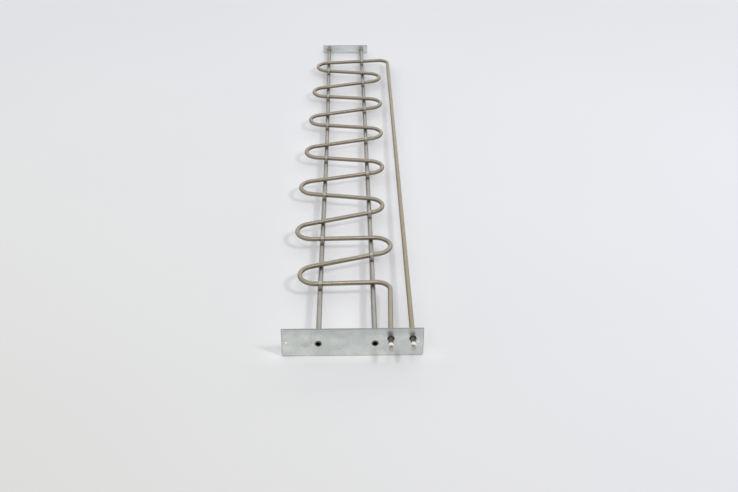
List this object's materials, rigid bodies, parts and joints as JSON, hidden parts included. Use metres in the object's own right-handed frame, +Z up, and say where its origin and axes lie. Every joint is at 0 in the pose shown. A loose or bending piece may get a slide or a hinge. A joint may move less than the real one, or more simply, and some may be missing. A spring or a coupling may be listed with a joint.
{
  "type": "heating element",
  "caption": "Serpentine tubular defrost heater on two steel support tubes, with a mounting plate and two blade terminals at one end and a small foot plate at the other.",
  "frame": {"origin": "middle of the mounting plate's seating face, which faces the far end", "axes": "+X along the mounting plate towards the two legs, +Y along the element away from the terminals, +Z up, from the support tubes to the runs"},
  "size_m": [0.215, 1.3147, 0.05],
  "materials": {
    "galvanised_plate": "galvanised sheet, semi-gloss",
    "foot_sheet": "galvanised sheet, semi-gloss",
    "tube_steel": "drawn steel tube, dull",
    "sheath_steel": "annealed stainless sheath, straw coloured",
    "magnesia": "compacted oxide powder, matt",
    "resistance_wire": "drawn alloy wire",
    "terminal_steel": "bright steel",
    "sealant": "silicone sealant, matt",
    "steatite": "unglazed white ceramic",
    "tab_steel": "plated steel, dull",
    "weld_metal": "weld metal with heat tint",
    "clip_steel": "bright stainless strip",
    "burnt_weld": "small welds, burnt brown"
  },
  "bodies": {
    "root": {"front_mounting_plate": "galvanised_plate", "rear_foot_plate": "foot_sheet", "left_support_tube": "tube_steel", "right_support_tube": "tube_steel", "element_sheath": "sheath_steel", "magnesia_filling": "magnesia", "resistance_coil": "resistance_wire", "left_terminal_pin": "terminal_steel", "right_terminal_pin": "terminal_steel", "left_end_seal": "sealant", "right_end_seal": "sealant", "left_ceramic_bush": "steatite", "right_ceramic_bush": "steatite", "left_terminal_tab": "tab_steel", "right_terminal_tab": "tab_steel", "left_tube_plate_weld": "weld_metal", "right_tube_plate_weld": "weld_metal", "left_leg_plate_weld": "weld_metal", "right_leg_plate_weld": "weld_metal", "left_tube_foot_weld": "weld_metal", "right_tube_foot_weld": "weld_metal", "left_retaining_clips": "clip_steel", "right_retaining_clips": "clip_steel", "left_clip_welds": "burnt_weld", "right_clip_welds": "burnt_weld"}
  },
  "joints": []
}
